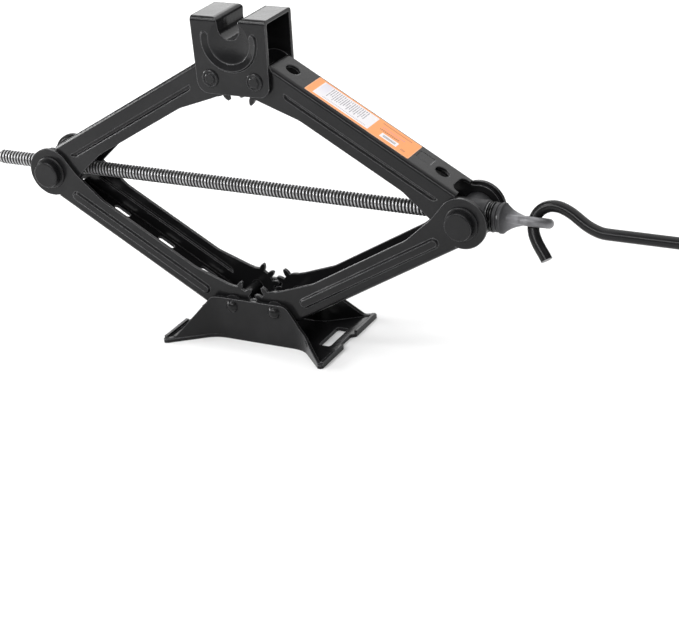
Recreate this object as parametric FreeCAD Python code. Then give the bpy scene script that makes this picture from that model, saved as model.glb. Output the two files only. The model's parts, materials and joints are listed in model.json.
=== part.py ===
import FreeCAD, Part
import math
import os
from FreeCAD import Vector

# Scissor car jack, raised about half way, with its cranked handle hooked in the screw's eye.
# Millimetres. X runs along the screw (eye at +X), -Y is the front, +Z is up.
# The origin is on the ground, midway between the two base pins.

# ---- driving dimensions -------------------------------------------------------------
PIN_HALF = 19.5          # half the spacing of the two base pins, and of the two saddle pins
ARM = 193.0              # pin to trunnion along each arm
ARM_ANGLE = 30.0         # slope of the arms in this pose, degrees
BASE_PIN_Z = 30.0        # height of the base pins above the ground
SHEET = 2.5              # arm sheet thickness
PLATE = 3.0              # base and saddle sheet thickness

UPPER_HALF = 17.0        # half width over the upper arms
LOWER_HALF = 20.0        # half width over the lower arms
WALL_HALF = 25.0         # half width over the base walls
SADDLE_HALF = 20.8       # half width over the saddle plates
WEB_HEIGHT = 16.2        # pin line to the outside of an arm's web
BEND = 3.5               # outside bend radius of the pressed sheet
RIB_FROM = 28.0          # stiffening rib along each flange, from the geared end
RIB_TO = 163.0
RIB_Z = 4.4              # rib's middle above the pin line
RIB_HALF = 4.3
RIB_PRESS = 1.9          # depth of the rib
WEB_SLOTS = (41.0, 86.0, 133.0)     # middles of the drain slots along each lower arm's web
SLOT_HALF_LENGTH = 8.0
SLOT_HALF_WIDTH = 2.7
SLOT_Y = 11.5

GEAR_TEETH = 13          # teeth on a full circle of the arm's sector gear
TIP_RADIUS = 22.0
ROOT_RADIUS = 16.1
PRESSURE_ANGLE = 25.0
TOOTH_THINNING = 0.30    # taken off each flank as backlash

PIN_RADIUS = 5.0
PIN_RUNNING = 0.06       # radial running clearance of pins and journals
JOURNAL_RADIUS = 8.0
BLOCK_HALF = 14.0        # half width of a trunnion block
BLOCK_REACH = 14.3       # half length of a trunnion block along the screw

SCREW_RADIUS = 6.0       # over the thread crests
SCREW_LEFT = -252.0
TIP_CHAMFER = 1.5
NUT_CLEARANCE = 0.15

SADDLE_X = 33.0          # half length of the saddle
SADDLE_TOP = 48.8        # saddle pins to the saddle's top
SADDLE_DROP = 12.5       # saddle pins to the lower edge of its plates
TROUGH_HALF = 9.3        # half width of the trough across the saddle
TROUGH_DEPTH = 17.7

BASE_X = 74.0            # half length of the base
BASE_Y = 50.0            # half width of the base's feet
WALL_TOP = 36.5
LEFT_FOOT = (-72.0, -50.0)        # corners of the front wall's line on the ground
LEFT_BEND = (-36.5, -25.0)
RIGHT_BEND = (44.5, -25.0)
RIGHT_FOOT = (70.0, -50.0)
LEFT_BEND_RADIUS = 26.0
RIGHT_BEND_RADIUS = 22.0

ROD_RADIUS = 4.5         # hook rod
CRANK_RADIUS = 3.8       # crank arm
SPIN_AT_REST = -24.0     # the screw and handle stand turned by this about the screw axis
EYE_CENTRE = 237.2
EYE_RADIUS = 14.5
EYE_HOLE = 7.0
EYE_THICK = 7.0
ROD_LEVEL = -2.5         # straight part of the hook rod, below the screw axis
HEAD_X = 532.0           # cross hole in the handle's flat head
CRANK_RISE = 165.0       # hook rod to grip
CRANK_Y = -8.9           # the crank arm lies in front of the flat head
HEAD_HALF_LENGTH = 18.5
HEAD_HALF_HEIGHT = 8.0
HEAD_HALF_THICK = 4.0
GRIP_RADIUS = 9.75
GRIP_START = 552.0
GRIP_LENGTH = 97.0

# ---- worked out ---------------------------------------------------------------------
SLOPE = math.radians(ARM_ANGLE)
TRUNNION_X = PIN_HALF + ARM * math.cos(SLOPE)
TRUNNION_Z = BASE_PIN_Z + ARM * math.sin(SLOPE)
SADDLE_PIN_Z = BASE_PIN_Z + 2 * ARM * math.sin(SLOPE)
TOP_Z = SADDLE_PIN_Z + SADDLE_TOP
PITCH_RADIUS = PIN_HALF
X_AXIS = Vector(1, 0, 0)
Y_AXIS = Vector(0, 1, 0)
Z_AXIS = Vector(0, 0, 1)
ORIGIN = Vector(0, 0, 0)


# ---- small shape helpers --------------------------------------------------------------
def box(x0, x1, y0, y1, z0, z1):
    return Part.makeBox(x1 - x0, y1 - y0, z1 - z0, Vector(x0, y0, z0))


def rod_y(x, z, radius, y0, y1):
    return Part.makeCylinder(radius, y1 - y0, Vector(x, y0, z), Y_AXIS)


def rod_x(x0, x1, radius, y=0.0, z=0.0):
    return Part.makeCylinder(radius, x1 - x0, Vector(x0, y, z), X_AXIS)


def rod_z(x, y, radius, z0, z1):
    return Part.makeCylinder(radius, z1 - z0, Vector(x, y, z0), Z_AXIS)


def fuse(shapes):
    whole = shapes[0].multiFuse(shapes[1:]) if len(shapes) > 1 else shapes[0]
    return whole.removeSplitter()


def corner_arc(before, corner, after, radius):
    """Start, middle and end of the arc that rounds a corner of an outline."""
    towards_before = (before - corner).normalize()
    towards_after = (after - corner).normalize()
    half = towards_before.getAngle(towards_after) / 2
    reach = radius / math.tan(half)
    bisector = (towards_before + towards_after).normalize()
    centre = corner + bisector * (radius / math.sin(half))
    return corner + towards_before * reach, centre - bisector * radius, corner + towards_after * reach


def outline(points, plane="xz", level=0.0):
    """Closed wire through (u, v) or (u, v, corner radius) points, in the named plane."""
    def place(u, v):
        if plane == "xz":
            return Vector(u, level, v)
        if plane == "yz":
            return Vector(level, u, v)
        return Vector(u, v, level)

    corners = [place(p[0], p[1]) for p in points]
    radii = [p[2] if len(p) > 2 else 0.0 for p in points]
    edges = []
    ends = []
    for i, corner in enumerate(corners):
        before = corners[i - 1]
        after = corners[(i + 1) % len(corners)]
        if radii[i] > 0:
            start, middle, end = corner_arc(before, corner, after, radii[i])
            ends.append((start, end, Part.Arc(start, middle, end).toShape()))
        else:
            ends.append((corner, corner, None))
    for i, (start, end, arc) in enumerate(ends):
        if arc is not None:
            edges.append(arc)
        following = ends[(i + 1) % len(ends)][0]
        if end.distanceToPoint(following) > 1e-6:
            edges.append(Part.makeLine(end, following))
    return Part.Wire(Part.__sortEdges__(edges))


def slab(points, y0, y1):
    """An outline in XZ, carried from y0 to y1."""
    return Part.Face(outline(points, "xz", y0)).extrude(Vector(0, y1 - y0, 0))


def plan(points, z0, z1):
    """An outline in XY, carried from z0 to z1."""
    return Part.Face(outline(points, "xy", z0)).extrude(Vector(0, 0, z1 - z0))


def section_x(points, x0, x1):
    """An outline in YZ, carried from x0 to x1."""
    return Part.Face(outline(points, "yz", x0)).extrude(Vector(x1 - x0, 0, 0))


def turned(profile, axis_point, axis):
    """A solid of revolution from (along, radius) points about an axis through a point."""
    side = Z_AXIS if abs(axis.dot(Z_AXIS)) < 0.5 else X_AXIS
    points = [axis_point + axis * a + side * r for a, r in profile]
    points.append(points[0])
    return Part.Face(Part.makePolygon(points)).revolve(axis_point, axis, 360)


def stadium(x0, x1, z, radius, y):
    """Round-ended slot outline in the plane y."""
    top = Part.makeLine(Vector(x0, y, z + radius), Vector(x1, y, z + radius))
    right = Part.Arc(Vector(x1, y, z + radius), Vector(x1 + radius, y, z), Vector(x1, y, z - radius))
    bottom = Part.makeLine(Vector(x1, y, z - radius), Vector(x0, y, z - radius))
    left = Part.Arc(Vector(x0, y, z - radius), Vector(x0 - radius, y, z), Vector(x0, y, z + radius))
    return Part.Wire([top, right.toShape(), bottom, left.toShape()])


def pressed(x0, x1, z, radius, y, depth, slope=1.7):
    """The lump a press leaves: wide at y, narrower at y + depth."""
    foot = stadium(x0, x1, z, radius, y)
    crown = stadium(x0, x1, z, radius - slope, y + depth)
    return Part.makeLoft([foot, crown], True)


def swept_rod(path, radius):
    """A round bar along a wire."""
    start = path.Edges[0]
    point = start.valueAt(start.FirstParameter)
    tangent = start.tangentAt(start.FirstParameter)
    ring = Part.Wire([Part.makeCircle(radius, point, tangent)])
    bar = path.makePipeShell([ring], True, True)
    if bar.Volume < 0:
        bar.reverse()
    return bar


def mirror_x(shape):
    return shape.mirror(ORIGIN, X_AXIS)


def mirror_z(shape):
    return shape.mirror(ORIGIN, Z_AXIS)


def outside(sign, face, reach, x0, x1, z0, z1):
    """A box from a face at y = sign * face outwards to sign * (face + reach)."""
    near, far = sorted((sign * face, sign * (face + reach)))
    return box(x0, x1, near, far, z0, z1)


def both_sides(shape):
    """The shape and its twin across the jack's middle plane."""
    return [shape, shape.mirror(ORIGIN, Y_AXIS)]


# ---- sector gear on an arm's inner end -----------------------------------------------------
def involute(angle):
    return math.tan(angle) - angle


def tooth(centre_angle, y0, y1):
    """One gear tooth about the pin, pointing at centre_angle (degrees in the arm's XZ plane)."""
    base_radius = PITCH_RADIUS * math.cos(math.radians(PRESSURE_ANGLE))
    at_pitch = math.pi / (2 * GEAR_TEETH) - TOOTH_THINNING / PITCH_RADIUS

    def half_angle(radius):
        if radius <= base_radius:
            return at_pitch + involute(math.radians(PRESSURE_ANGLE))
        local = math.acos(base_radius / radius)
        return at_pitch + involute(math.radians(PRESSURE_ANGLE)) - involute(local)

    def point(radius, turn):
        angle = math.radians(centre_angle) + turn
        return Vector(radius * math.cos(angle), y0, radius * math.sin(angle))

    inner = ROOT_RADIUS - 4.0
    middle = (base_radius + TIP_RADIUS) / 2
    rise = [point(inner, half_angle(base_radius)), point(base_radius, half_angle(base_radius))]
    flank = Part.Arc(rise[1], point(middle, half_angle(middle)), point(TIP_RADIUS, half_angle(TIP_RADIUS)))
    tip = Part.Arc(point(TIP_RADIUS, half_angle(TIP_RADIUS)), point(TIP_RADIUS, 0.0),
                   point(TIP_RADIUS, -half_angle(TIP_RADIUS)))
    back = Part.Arc(point(TIP_RADIUS, -half_angle(TIP_RADIUS)), point(middle, -half_angle(middle)),
                    point(base_radius, -half_angle(base_radius)))
    fall = [point(base_radius, -half_angle(base_radius)), point(inner, -half_angle(base_radius))]
    wire = Part.Wire([Part.makeLine(rise[0], rise[1]), flank.toShape(), tip.toShape(), back.toShape(),
                      Part.makeLine(fall[0], fall[1]), Part.makeLine(fall[1], rise[0])])
    return Part.Face(wire).extrude(Vector(0, y1 - y0, 0))


FIRST_TOOTH = -94.6      # angle of the last tooth on the leading arm of each pair
TOOTH_PITCH = 360.0 / GEAR_TEETH


# ---- arms, in their own frame: X from pin to trunnion, +Z towards the web -------------------
WEB_FROM = 3.8
WEB_TO = 178.0


def arm_channel(half):
    """Web, bends and straight flanges of the pressed channel."""
    inner = half - SHEET
    under = WEB_HEIGHT - SHEET
    low = 4.0
    skin = [(-half, low), (-half, WEB_HEIGHT, BEND), (half, WEB_HEIGHT, BEND), (half, low),
            (inner, low), (inner, under, BEND - SHEET), (-inner, under, BEND - SHEET), (-inner, low)]
    channel = section_x(skin, WEB_FROM, WEB_TO)
    notch = plan([(WEB_TO - 7.2, -11.0, 6.0), (WEB_TO + 9, -11.0), (WEB_TO + 9, 11.0),
                  (WEB_TO - 7.2, 11.0, 6.0)], under - 2, WEB_HEIGHT + 2)
    return channel.cut(notch)


def flange_outline(end_radius, depth):
    """Side view of a flange between its two round ends."""
    top = WEB_HEIGHT - BEND
    return [(0, top), (ARM - 12, top), (ARM - 4, -end_radius + 0.4, 3.0), (ARM - 22, -depth - 6.5, 22.0),
            (ARM - 52, -depth, 30.0), (44, -depth, 30.0), (14, -depth - 5.5, 16.0), (0, -15.8)]


def arm_blank(half, end_radius, depth, phase, inward):
    """The whole pressed arm; phase shifts its teeth, inward says which way its ribs stand."""
    inner = half - SHEET
    first = FIRST_TOOTH + phase * TOOTH_PITCH
    plates = []
    for y0, y1, sign in ((inner, half, 1), (-half, -inner, -1)):
        side = [slab(flange_outline(end_radius, depth), y0, y1),
                rod_y(0, 0, ROOT_RADIUS, y0, y1),
                rod_y(ARM, 0, end_radius, y0, y1)]
        side += [tooth(first - i * TOOTH_PITCH, y0, y1) for i in range(4)]
        plate = fuse(side)
        plate = plate.cut(rod_y(0, 0, PIN_RADIUS + PIN_RUNNING, y0 - 1, y1 + 1))
        plate = plate.cut(rod_y(ARM, 0, JOURNAL_RADIUS + PIN_RUNNING, y0 - 1, y1 + 1))
        outer_face = sign * half
        inner_face = sign * inner
        if inward:
            plate = plate.cut(pressed(RIB_FROM, RIB_TO, RIB_Z, RIB_HALF, outer_face, -sign * RIB_PRESS))
            plate = plate.fuse(pressed(RIB_FROM, RIB_TO, RIB_Z, RIB_HALF, inner_face, -sign * RIB_PRESS))
        else:
            plate = plate.cut(pressed(RIB_FROM, RIB_TO, RIB_Z, RIB_HALF, inner_face, sign * RIB_PRESS))
            plate = plate.fuse(pressed(RIB_FROM, RIB_TO, RIB_Z, RIB_HALF, outer_face, sign * RIB_PRESS))
        plates.append(plate)
    return fuse([arm_channel(half)] + plates)


def upper_arm(phase):
    arm = arm_blank(UPPER_HALF, 18.0, 8.0, phase, inward=True)
    for hole_x in (17.2, 157.5):
        arm = arm.cut(rod_z(hole_x, 0, 6.0, WEB_HEIGHT - 6, WEB_HEIGHT + 3))
    return arm


def lower_arm(phase):
    arm = arm_blank(LOWER_HALF, 20.3, 6.6, phase, inward=False)
    under = WEB_HEIGHT - SHEET
    ridge = Part.makeCylinder(6.0, 118.0, Vector(34, 0, under + 4.4), X_AXIS)
    ridge = ridge.common(box(30, 160, -6, 6, under - 3, under))
    arm = fuse([arm, ridge])
    groove = Part.makeCylinder(6.0, 118.0, Vector(34, 0, WEB_HEIGHT + 4.7), X_AXIS)
    arm = arm.cut(groove)
    for x in WEB_SLOTS:
        for y in (-SLOT_Y, SLOT_Y):
            corners = [(x - SLOT_HALF_LENGTH, y - SLOT_HALF_WIDTH), (x + SLOT_HALF_LENGTH, y - SLOT_HALF_WIDTH),
                       (x + SLOT_HALF_LENGTH, y + SLOT_HALF_WIDTH), (x - SLOT_HALF_LENGTH, y + SLOT_HALF_WIDTH)]
            slot = plan([(u, v, SLOT_HALF_WIDTH - 0.1) for u, v in corners], under - 2, WEB_HEIGHT + 2)
            arm = arm.cut(slot)
    arm = arm.cut(rod_z(157.5, 0, 6.0, under - 4, WEB_HEIGHT + 3))
    return arm


def place_upper(shape, side):
    """Turn an arm down from the saddle pin on the given side (+1 right, -1 left)."""
    out = shape.copy()
    out.rotate(ORIGIN, Y_AXIS, ARM_ANGLE)
    out.translate(Vector(PIN_HALF, 0, SADDLE_PIN_Z))
    return out if side > 0 else mirror_x(out)


def place_lower(shape, side):
    """Turn an arm up from the base pin on the given side."""
    out = mirror_z(shape)
    out.rotate(ORIGIN, Y_AXIS, -ARM_ANGLE)
    out.translate(Vector(PIN_HALF, 0, BASE_PIN_Z))
    return out if side > 0 else mirror_x(out)


# ---- label and stamped panel on the upper right arm -----------------------------------------
LABEL_FROM = 35.3
LABEL_TO = 132.0
LABEL_HALF = 13.2


def label_sheet():
    rise = 0.25
    sheet = plan([(LABEL_FROM, -LABEL_HALF, 1), (LABEL_TO, -LABEL_HALF, 1), (LABEL_TO, LABEL_HALF, 1),
                  (LABEL_FROM, LABEL_HALF, 1)], WEB_HEIGHT, WEB_HEIGHT + rise)
    return place_upper(sheet, 1)


def stamped_panel():
    recess = plan([(133.8, -2.4, 0.8), (147.0, -2.4, 0.8), (147.0, 8.6, 0.8), (133.8, 8.6, 0.8)],
                  WEB_HEIGHT - 0.4, WEB_HEIGHT + 1)
    return recess


# ---- saddle -----------------------------------------------------------------------------
def saddle():
    half = SADDLE_HALF
    inner = half - PLATE
    low = SADDLE_PIN_Z - SADDLE_DROP
    under = TOP_Z - PLATE
    skin = [(-half, low), (-half, TOP_Z, BEND), (half, TOP_Z, BEND), (half, low),
            (inner, low), (inner, under, BEND - 2), (-inner, under, BEND - 2), (-inner, low)]
    cap = section_x(skin, -SADDLE_X, SADDLE_X)
    side = slab([(-SADDLE_X + 1.2, low, 10.0), (SADDLE_X - 1.2, low, 10.0), (SADDLE_X, TOP_Z + 1),
                 (-SADDLE_X, TOP_Z + 1)], -half - 1, half + 1)
    cap = cap.common(side)

    floor = TOP_Z - TROUGH_DEPTH
    outer = TROUGH_HALF + PLATE
    shell = slab([(-outer, TOP_Z - 0.8), (-outer, floor - PLATE, outer - 0.1),
                  (outer, floor - PLATE, outer - 0.1), (outer, TOP_Z - 0.8)], -inner - 1, inner + 1)
    lips = 4.6
    dip = 0.8
    way = slab([(-TROUGH_HALF - lips, TOP_Z + 2), (-TROUGH_HALF - lips, TOP_Z),
                (-TROUGH_HALF, TOP_Z - dip, lips - 0.8), (-TROUGH_HALF, floor, TROUGH_HALF - 0.1),
                (TROUGH_HALF, floor, TROUGH_HALF - 0.1), (TROUGH_HALF, TOP_Z - dip, lips - 0.8),
                (TROUGH_HALF + lips, TOP_Z), (TROUGH_HALF + lips, TOP_Z + 2)], -half - 4, half + 4)

    centre_z = SADDLE_PIN_Z + 31.0
    bead_radius = 21.6
    bead_wire = 3.4
    proud = 2.4
    parts = [cap, shell]
    for sign in (-1, 1):
        plane = sign * (half + proud - bead_wire)
        ring = Part.makeTorus(bead_radius, bead_wire, Vector(0, plane, centre_z), Y_AXIS)
        keep = slab([(-40, centre_z - 40), (40, centre_z - 40), (40, centre_z + 7), (0, centre_z - 2),
                     (-40, centre_z + 7)], plane - 6, plane + 6)
        ring = ring.common(keep)
        turn = math.atan2(3.3, bead_radius)
        ends = [Part.makeSphere(bead_wire, Vector(s * bead_radius * math.cos(turn), plane,
                                                  centre_z + bead_radius * math.sin(turn))) for s in (-1, 1)]
        bead = ring.multiFuse(ends)
        lane = outside(sign, inner, PLATE + 4, -SADDLE_X, SADDLE_X, centre_z - 40, centre_z + 20)
        parts.append(bead.common(lane))
    body = fuse(parts)

    dish_depth = 2.2
    dish_radius = 17.5
    ball = (dish_radius ** 2 + dish_depth ** 2) / (2 * dish_depth)
    for sign in (-1, 1):
        centre = Vector(0, sign * (half - dish_depth + ball), centre_z)
        body = body.cut(Part.makeSphere(ball, centre))
    body = body.cut(way)
    for x in (-PIN_HALF, PIN_HALF):
        body = body.cut(rod_y(x, SADDLE_PIN_Z, PIN_RADIUS, -half - 5, half + 5))
    return body


def rivet_pins(z, half, proud, domed):
    """Two pins through a pressed part, headed over on both sides; half is over the part."""
    pins = []
    for x in (-PIN_HALF, PIN_HALF):
        pin = rod_y(x, z, PIN_RADIUS, -half, half)
        if domed:
            ball = (5.6 ** 2 + proud ** 2) / (2 * proud)
            heads = []
            for sign in (-1, 1):
                dome = Part.makeSphere(ball, Vector(x, sign * (half + proud - ball), z))
                heads.append(dome.common(outside(sign, half, 2 * proud, x - 9, x + 9, z - 9, z + 9)))
            pins.append(fuse([pin] + heads))
        else:
            profile = [(half, 0), (half, 7.1), (half + 0.9, 7.1), (half + 1.5, 6.4), (half + 1.5, 5.6),
                       (half + 0.8, 5.0), (half + 0.8, 4.4), (half + proud - 0.6, 4.4), (half + proud, 3.6),
                       (half + proud, 0)]
            heads = [turned(profile, Vector(x, 0, z), Y_AXIS * sign) for sign in (-1, 1)]
            pins.append(fuse([pin] + heads))
    return pins


def washers(z, gap_from, gap_to, outer_radius, bore):
    """Spacing washers on both pins and both sides, in the gap between two sheets."""
    rings = []
    for x in (-PIN_HALF, PIN_HALF):
        ring = rod_y(x, z, outer_radius, gap_from, gap_to).cut(rod_y(x, z, bore, gap_from - 1, gap_to + 1))
        rings += both_sides(ring)
    return rings


# ---- base ---------------------------------------------------------------------------------
def beside(path, distance):
    """A path of (x, y) points moved to its left by a distance, with its corner radii widened."""
    corners = [Vector(x, y, 0) for x, y, *radius in path]
    runs = [(after - before).normalize() for before, after in zip(corners, corners[1:])]
    lefts = [Vector(-run.y, run.x, 0) for run in runs]
    moved = []
    for i, (x, y, *radius) in enumerate(path):
        before = lefts[max(i - 1, 0)]
        after = lefts[min(i, len(lefts) - 1)]
        mitre = (before + after).normalize()
        point = corners[i] + mitre * (distance / mitre.dot(before))
        moved.append((point.x, point.y, *[r + distance for r in radius]))
    return moved


def base_wall():
    """Front wall, bent out to the left foot, and lower out to the right foot."""
    path = [LEFT_FOOT, (*LEFT_BEND, LEFT_BEND_RADIUS), (*RIGHT_BEND, RIGHT_BEND_RADIUS), RIGHT_FOOT]
    bent = plan(path + beside(path, PLATE)[::-1], 0, WALL_TOP)
    toe = 3.8
    side = slab([(-BASE_X - 4, 0), (-BASE_X - 4, toe), (-BASE_X + 8.5, toe, 4), (LEFT_BEND[0] - 1.5, WALL_TOP, 4),
                 (30, WALL_TOP, 9), (41.5, 19, 24), (54, 9.5, 24), (BASE_X - 4, 4.6), (BASE_X + 1, 4.6),
                 (BASE_X + 1, 0)], -BASE_Y - 5, 0)
    return bent.common(side)


def base_plate():
    inner = WALL_HALF - PLATE
    lip = 5.0
    right = [(0, -WALL_HALF), (*RIGHT_BEND, RIGHT_BEND_RADIUS), (*RIGHT_FOOT, 1.2), (BASE_X, -BASE_Y, 2),
             (BASE_X, -12, 1.5), (BASE_X - 4, -9, 1.5), (BASE_X - 4, 8, 1.5), (BASE_X, 11, 1.5),
             (BASE_X, BASE_Y, 2), (70.5, BASE_Y, 1), (-LEFT_BEND[0], -LEFT_BEND[1], LEFT_BEND_RADIUS),
             (0, WALL_HALF)]
    left = [(-x, -y, *rest) for x, y, *rest in right]
    sheet = fuse([plan(right, 0, PLATE), plan(left, 0, PLATE)])

    kerbs = []
    for y0, y1 in ((-BASE_Y + 2.5, -13.5), (12.5, BASE_Y - 3)):
        kerb = box(BASE_X - 2.6, BASE_X, y0, y1, 0.5, lip)
        kerbs += [kerb, kerb.rotated(ORIGIN, Z_AXIS, 180)]
    front = base_wall()
    back = front.rotated(ORIGIN, Z_AXIS, 180)
    body = fuse([sheet, front, back] + kerbs)

    slot = plan([(54, -17, 2), (64, -17, 2), (64, 17, 2), (54, 17, 2)], -1, PLATE + 1)
    body = body.cut(slot).cut(slot.rotated(ORIGIN, Z_AXIS, 180))
    for x in (-PIN_HALF, PIN_HALF):
        body = body.cut(rod_y(x, BASE_PIN_Z, PIN_RADIUS, -WALL_HALF - 2, WALL_HALF + 2))
    return body


# ---- trunnions -----------------------------------------------------------------------------
CAP_FROM = LOWER_HALF + 1.6
CAP_TO = 28.3
JOURNAL_END = CAP_TO - 3.0


def trunnion(x, bore):
    """Cross block with two journals and a bore along the screw."""
    barrel = rod_y(x, TRUNNION_Z, 12.6, -BLOCK_HALF, BLOCK_HALF)
    sleeve = turned([(-BLOCK_REACH, 0), (-BLOCK_REACH, 11.7), (-BLOCK_REACH + 0.8, 12.5),
                     (BLOCK_REACH - 0.8, 12.5), (BLOCK_REACH, 11.7), (BLOCK_REACH, 0)],
                    Vector(x, 0, TRUNNION_Z), X_AXIS)
    journals = rod_y(x, TRUNNION_Z, JOURNAL_RADIUS, -JOURNAL_END, JOURNAL_END)
    block = fuse([barrel, sleeve, journals])
    return block.cut(rod_x(x - 20, x + 20, bore, 0, TRUNNION_Z))


def trunnion_caps(x):
    """Blind caps pressed on the journals; they are the round heads seen from outside."""
    profile = [(CAP_FROM, JOURNAL_RADIUS), (CAP_FROM, 11.2), (CAP_TO - 1.1, 11.2), (CAP_TO - 0.35, 10.8),
               (CAP_TO, 9.9), (CAP_TO, 0), (JOURNAL_END, 0), (JOURNAL_END, JOURNAL_RADIUS)]
    cap = turned(profile, Vector(x, 0, TRUNNION_Z), Y_AXIS)
    return both_sides(cap)


def trunnion_washers(x):
    ring = turned([(LOWER_HALF + 0.3, JOURNAL_RADIUS), (LOWER_HALF + 0.3, 13.4), (LOWER_HALF + 1.1, 13.4),
                   (CAP_FROM, 12.7), (CAP_FROM, JOURNAL_RADIUS)], Vector(x, 0, TRUNNION_Z), Y_AXIS)
    return both_sides(ring)


# ---- screw, thrust bearing and eye, along the X axis through the trunnions -------------------
BEARING_FROM = TRUNNION_X + BLOCK_REACH
RACE = 1.2
BALL = 2.5
COLLAR_FROM = BEARING_FROM + 2 * RACE + BALL
SHANK_RADIUS = 5.2
SCREW_END = COLLAR_FROM + 11.0
PLAIN_FROM = TRUNNION_X - BLOCK_REACH - 4.0


def lead_screw():
    profile = [(SCREW_LEFT, 0), (SCREW_LEFT, SCREW_RADIUS - TIP_CHAMFER), (SCREW_LEFT + TIP_CHAMFER, SCREW_RADIUS),
               (PLAIN_FROM - 1, SCREW_RADIUS), (PLAIN_FROM, SHANK_RADIUS),
               (SCREW_END - 0.8, SHANK_RADIUS), (SCREW_END, SHANK_RADIUS - 0.8), (SCREW_END, 0)]
    screw = turned(profile, Vector(0, 0, 0), X_AXIS)
    return screw.cut(lock_pin_shape())


def lock_pin_shape():
    """Spring pin through the collar and the screw's end."""
    return rod_y(COLLAR_FROM + 5.6, 0, 1.5, -10.6, 10.6)


def screw_eye():
    start = COLLAR_FROM
    profile = [(start, SHANK_RADIUS), (start, 10.2), (start + 0.9, 11.2), (start + 3.2, 11.2),
               (start + 4.0, 10.2), (start + 4.8, 10.2), (start + 5.6, 11.9), (start + 7.4, 11.9),
               (start + 8.6, 10.6), (start + 10.6, 9.2), (start + 13.5, 7.3), (start + 17.5, 5.5),
               (start + 21.0, 4.4), (start + 24.0, 3.4),
               (start + 24.0, 0), (SCREW_END, 0), (SCREW_END, SHANK_RADIUS - 0.8),
               (SCREW_END - 0.8, SHANK_RADIUS)]
    head = turned(profile, Vector(0, 0, 0), X_AXIS)
    half = EYE_THICK / 2
    bar = (EYE_RADIUS - EYE_HOLE) / 2
    ring = Part.makeTorus(EYE_HOLE + bar, bar, Vector(EYE_CENTRE, 0, 0), Z_AXIS)
    narrow = [(-8.5, -3.4, 3), (8.5, -3.4, 3), (8.5, 3.4, 3), (-8.5, 3.4, 3)]
    wide = [(-12.0, -3.4, 3), (12.0, -3.4, 3), (12.0, 3.4, 3), (-12.0, 3.4, 3)]
    neck = Part.makeLoft([outline(narrow, "yz", start + 11.6), outline(wide, "yz", EYE_CENTRE - 6)], True)
    head = fuse([head, ring, neck])
    hole = turned([(-half - 5, 0), (-half - 5, EYE_HOLE + 6.2), (-half, EYE_HOLE + 1.2), (-half + 1.2, EYE_HOLE),
                   (half - 1.2, EYE_HOLE), (half, EYE_HOLE + 1.2), (half + 5, EYE_HOLE + 6.2), (half + 5, 0)],
                  Vector(EYE_CENTRE, 0, 0), Z_AXIS)
    return head.cut(hole).cut(lock_pin_shape())


def thrust_race(x0):
    profile = [(0, 6.6), (0, 11.3), (0.25, 11.7), (RACE - 0.25, 11.7), (RACE, 11.3), (RACE, 6.6)]
    return turned(profile, Vector(x0, 0, 0), X_AXIS)


BALL_COUNT = 12
BALL_CIRCLE = 9.1


def thrust_balls():
    middle = BEARING_FROM + RACE + BALL / 2
    balls = []
    for i in range(BALL_COUNT):
        turn = 2 * math.pi * i / BALL_COUNT
        centre = Vector(middle, BALL_CIRCLE * math.cos(turn), BALL_CIRCLE * math.sin(turn))
        balls.append(Part.makeSphere(BALL / 2 - 0.02, centre))
    return balls


def ball_cage():
    middle = BEARING_FROM + RACE + BALL / 2
    ring = turned([(-0.5, 6.8), (-0.5, 11.4), (0.5, 11.4), (0.5, 6.8)], Vector(middle, 0, 0), X_AXIS)
    for i in range(BALL_COUNT):
        turn = 2 * math.pi * i / BALL_COUNT
        pocket = rod_x(middle - 2, middle + 2, BALL / 2, BALL_CIRCLE * math.cos(turn), BALL_CIRCLE * math.sin(turn))
        ring = ring.cut(pocket)
    return ring


# ---- handle, in the plane through the screw axis ----------------------------------------------
HOOK_ROUTE = [(250.5, -27.0), (242.4, -16.5), (236.9, -5.0), (237.9, 5.0), (244.0, 11.6), (252.5, 13.4),
              (262.0, 11.0), (271.0, 6.2), (280.5, 0.8), (290.0, -2.2)]


def hook_rod():
    """Hooked bar, forged flat at its far end, with a cross hole and a square stub."""
    curve = Part.BSplineCurve()
    points = [Vector(x, 0, z) for x, z in HOOK_ROUTE] + [Vector(300, 0, ROD_LEVEL)]
    curve.interpolate(Points=points, InitialTangent=Vector(-0.55, 0, 0.84), FinalTangent=Vector(1, 0, 0))
    arcs = [arc.toShape() for arc in curve.toBiArcs(0.1)]
    hook = swept_rod(Part.Wire(arcs), ROD_RADIUS)
    shaft = rod_x(300, HEAD_X - 16, ROD_RADIUS, 0, ROD_LEVEL)
    oval = Part.Ellipse(Vector(HEAD_X - 8, 0, 0), HEAD_HALF_LENGTH, HEAD_HALF_HEIGHT).toShape()
    head = Part.Face(Part.Wire([oval])).extrude(Vector(0, 0, 2 * HEAD_HALF_THICK))
    head.rotate(ORIGIN, X_AXIS, 90)
    head.translate(Vector(0, HEAD_HALF_THICK, ROD_LEVEL))
    stub = slab([(HEAD_X + 8, ROD_LEVEL - 5), (HEAD_X + 19.5, ROD_LEVEL - 5, 0.8),
                 (HEAD_X + 19.5, ROD_LEVEL + 5, 0.8), (HEAD_X + 8, ROD_LEVEL + 5)],
                -HEAD_HALF_THICK, HEAD_HALF_THICK)
    bar = fuse([hook, shaft, head, stub])
    return bar.cut(rod_y(HEAD_X, ROD_LEVEL, CRANK_RADIUS + PIN_RUNNING, -6, 6))


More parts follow.
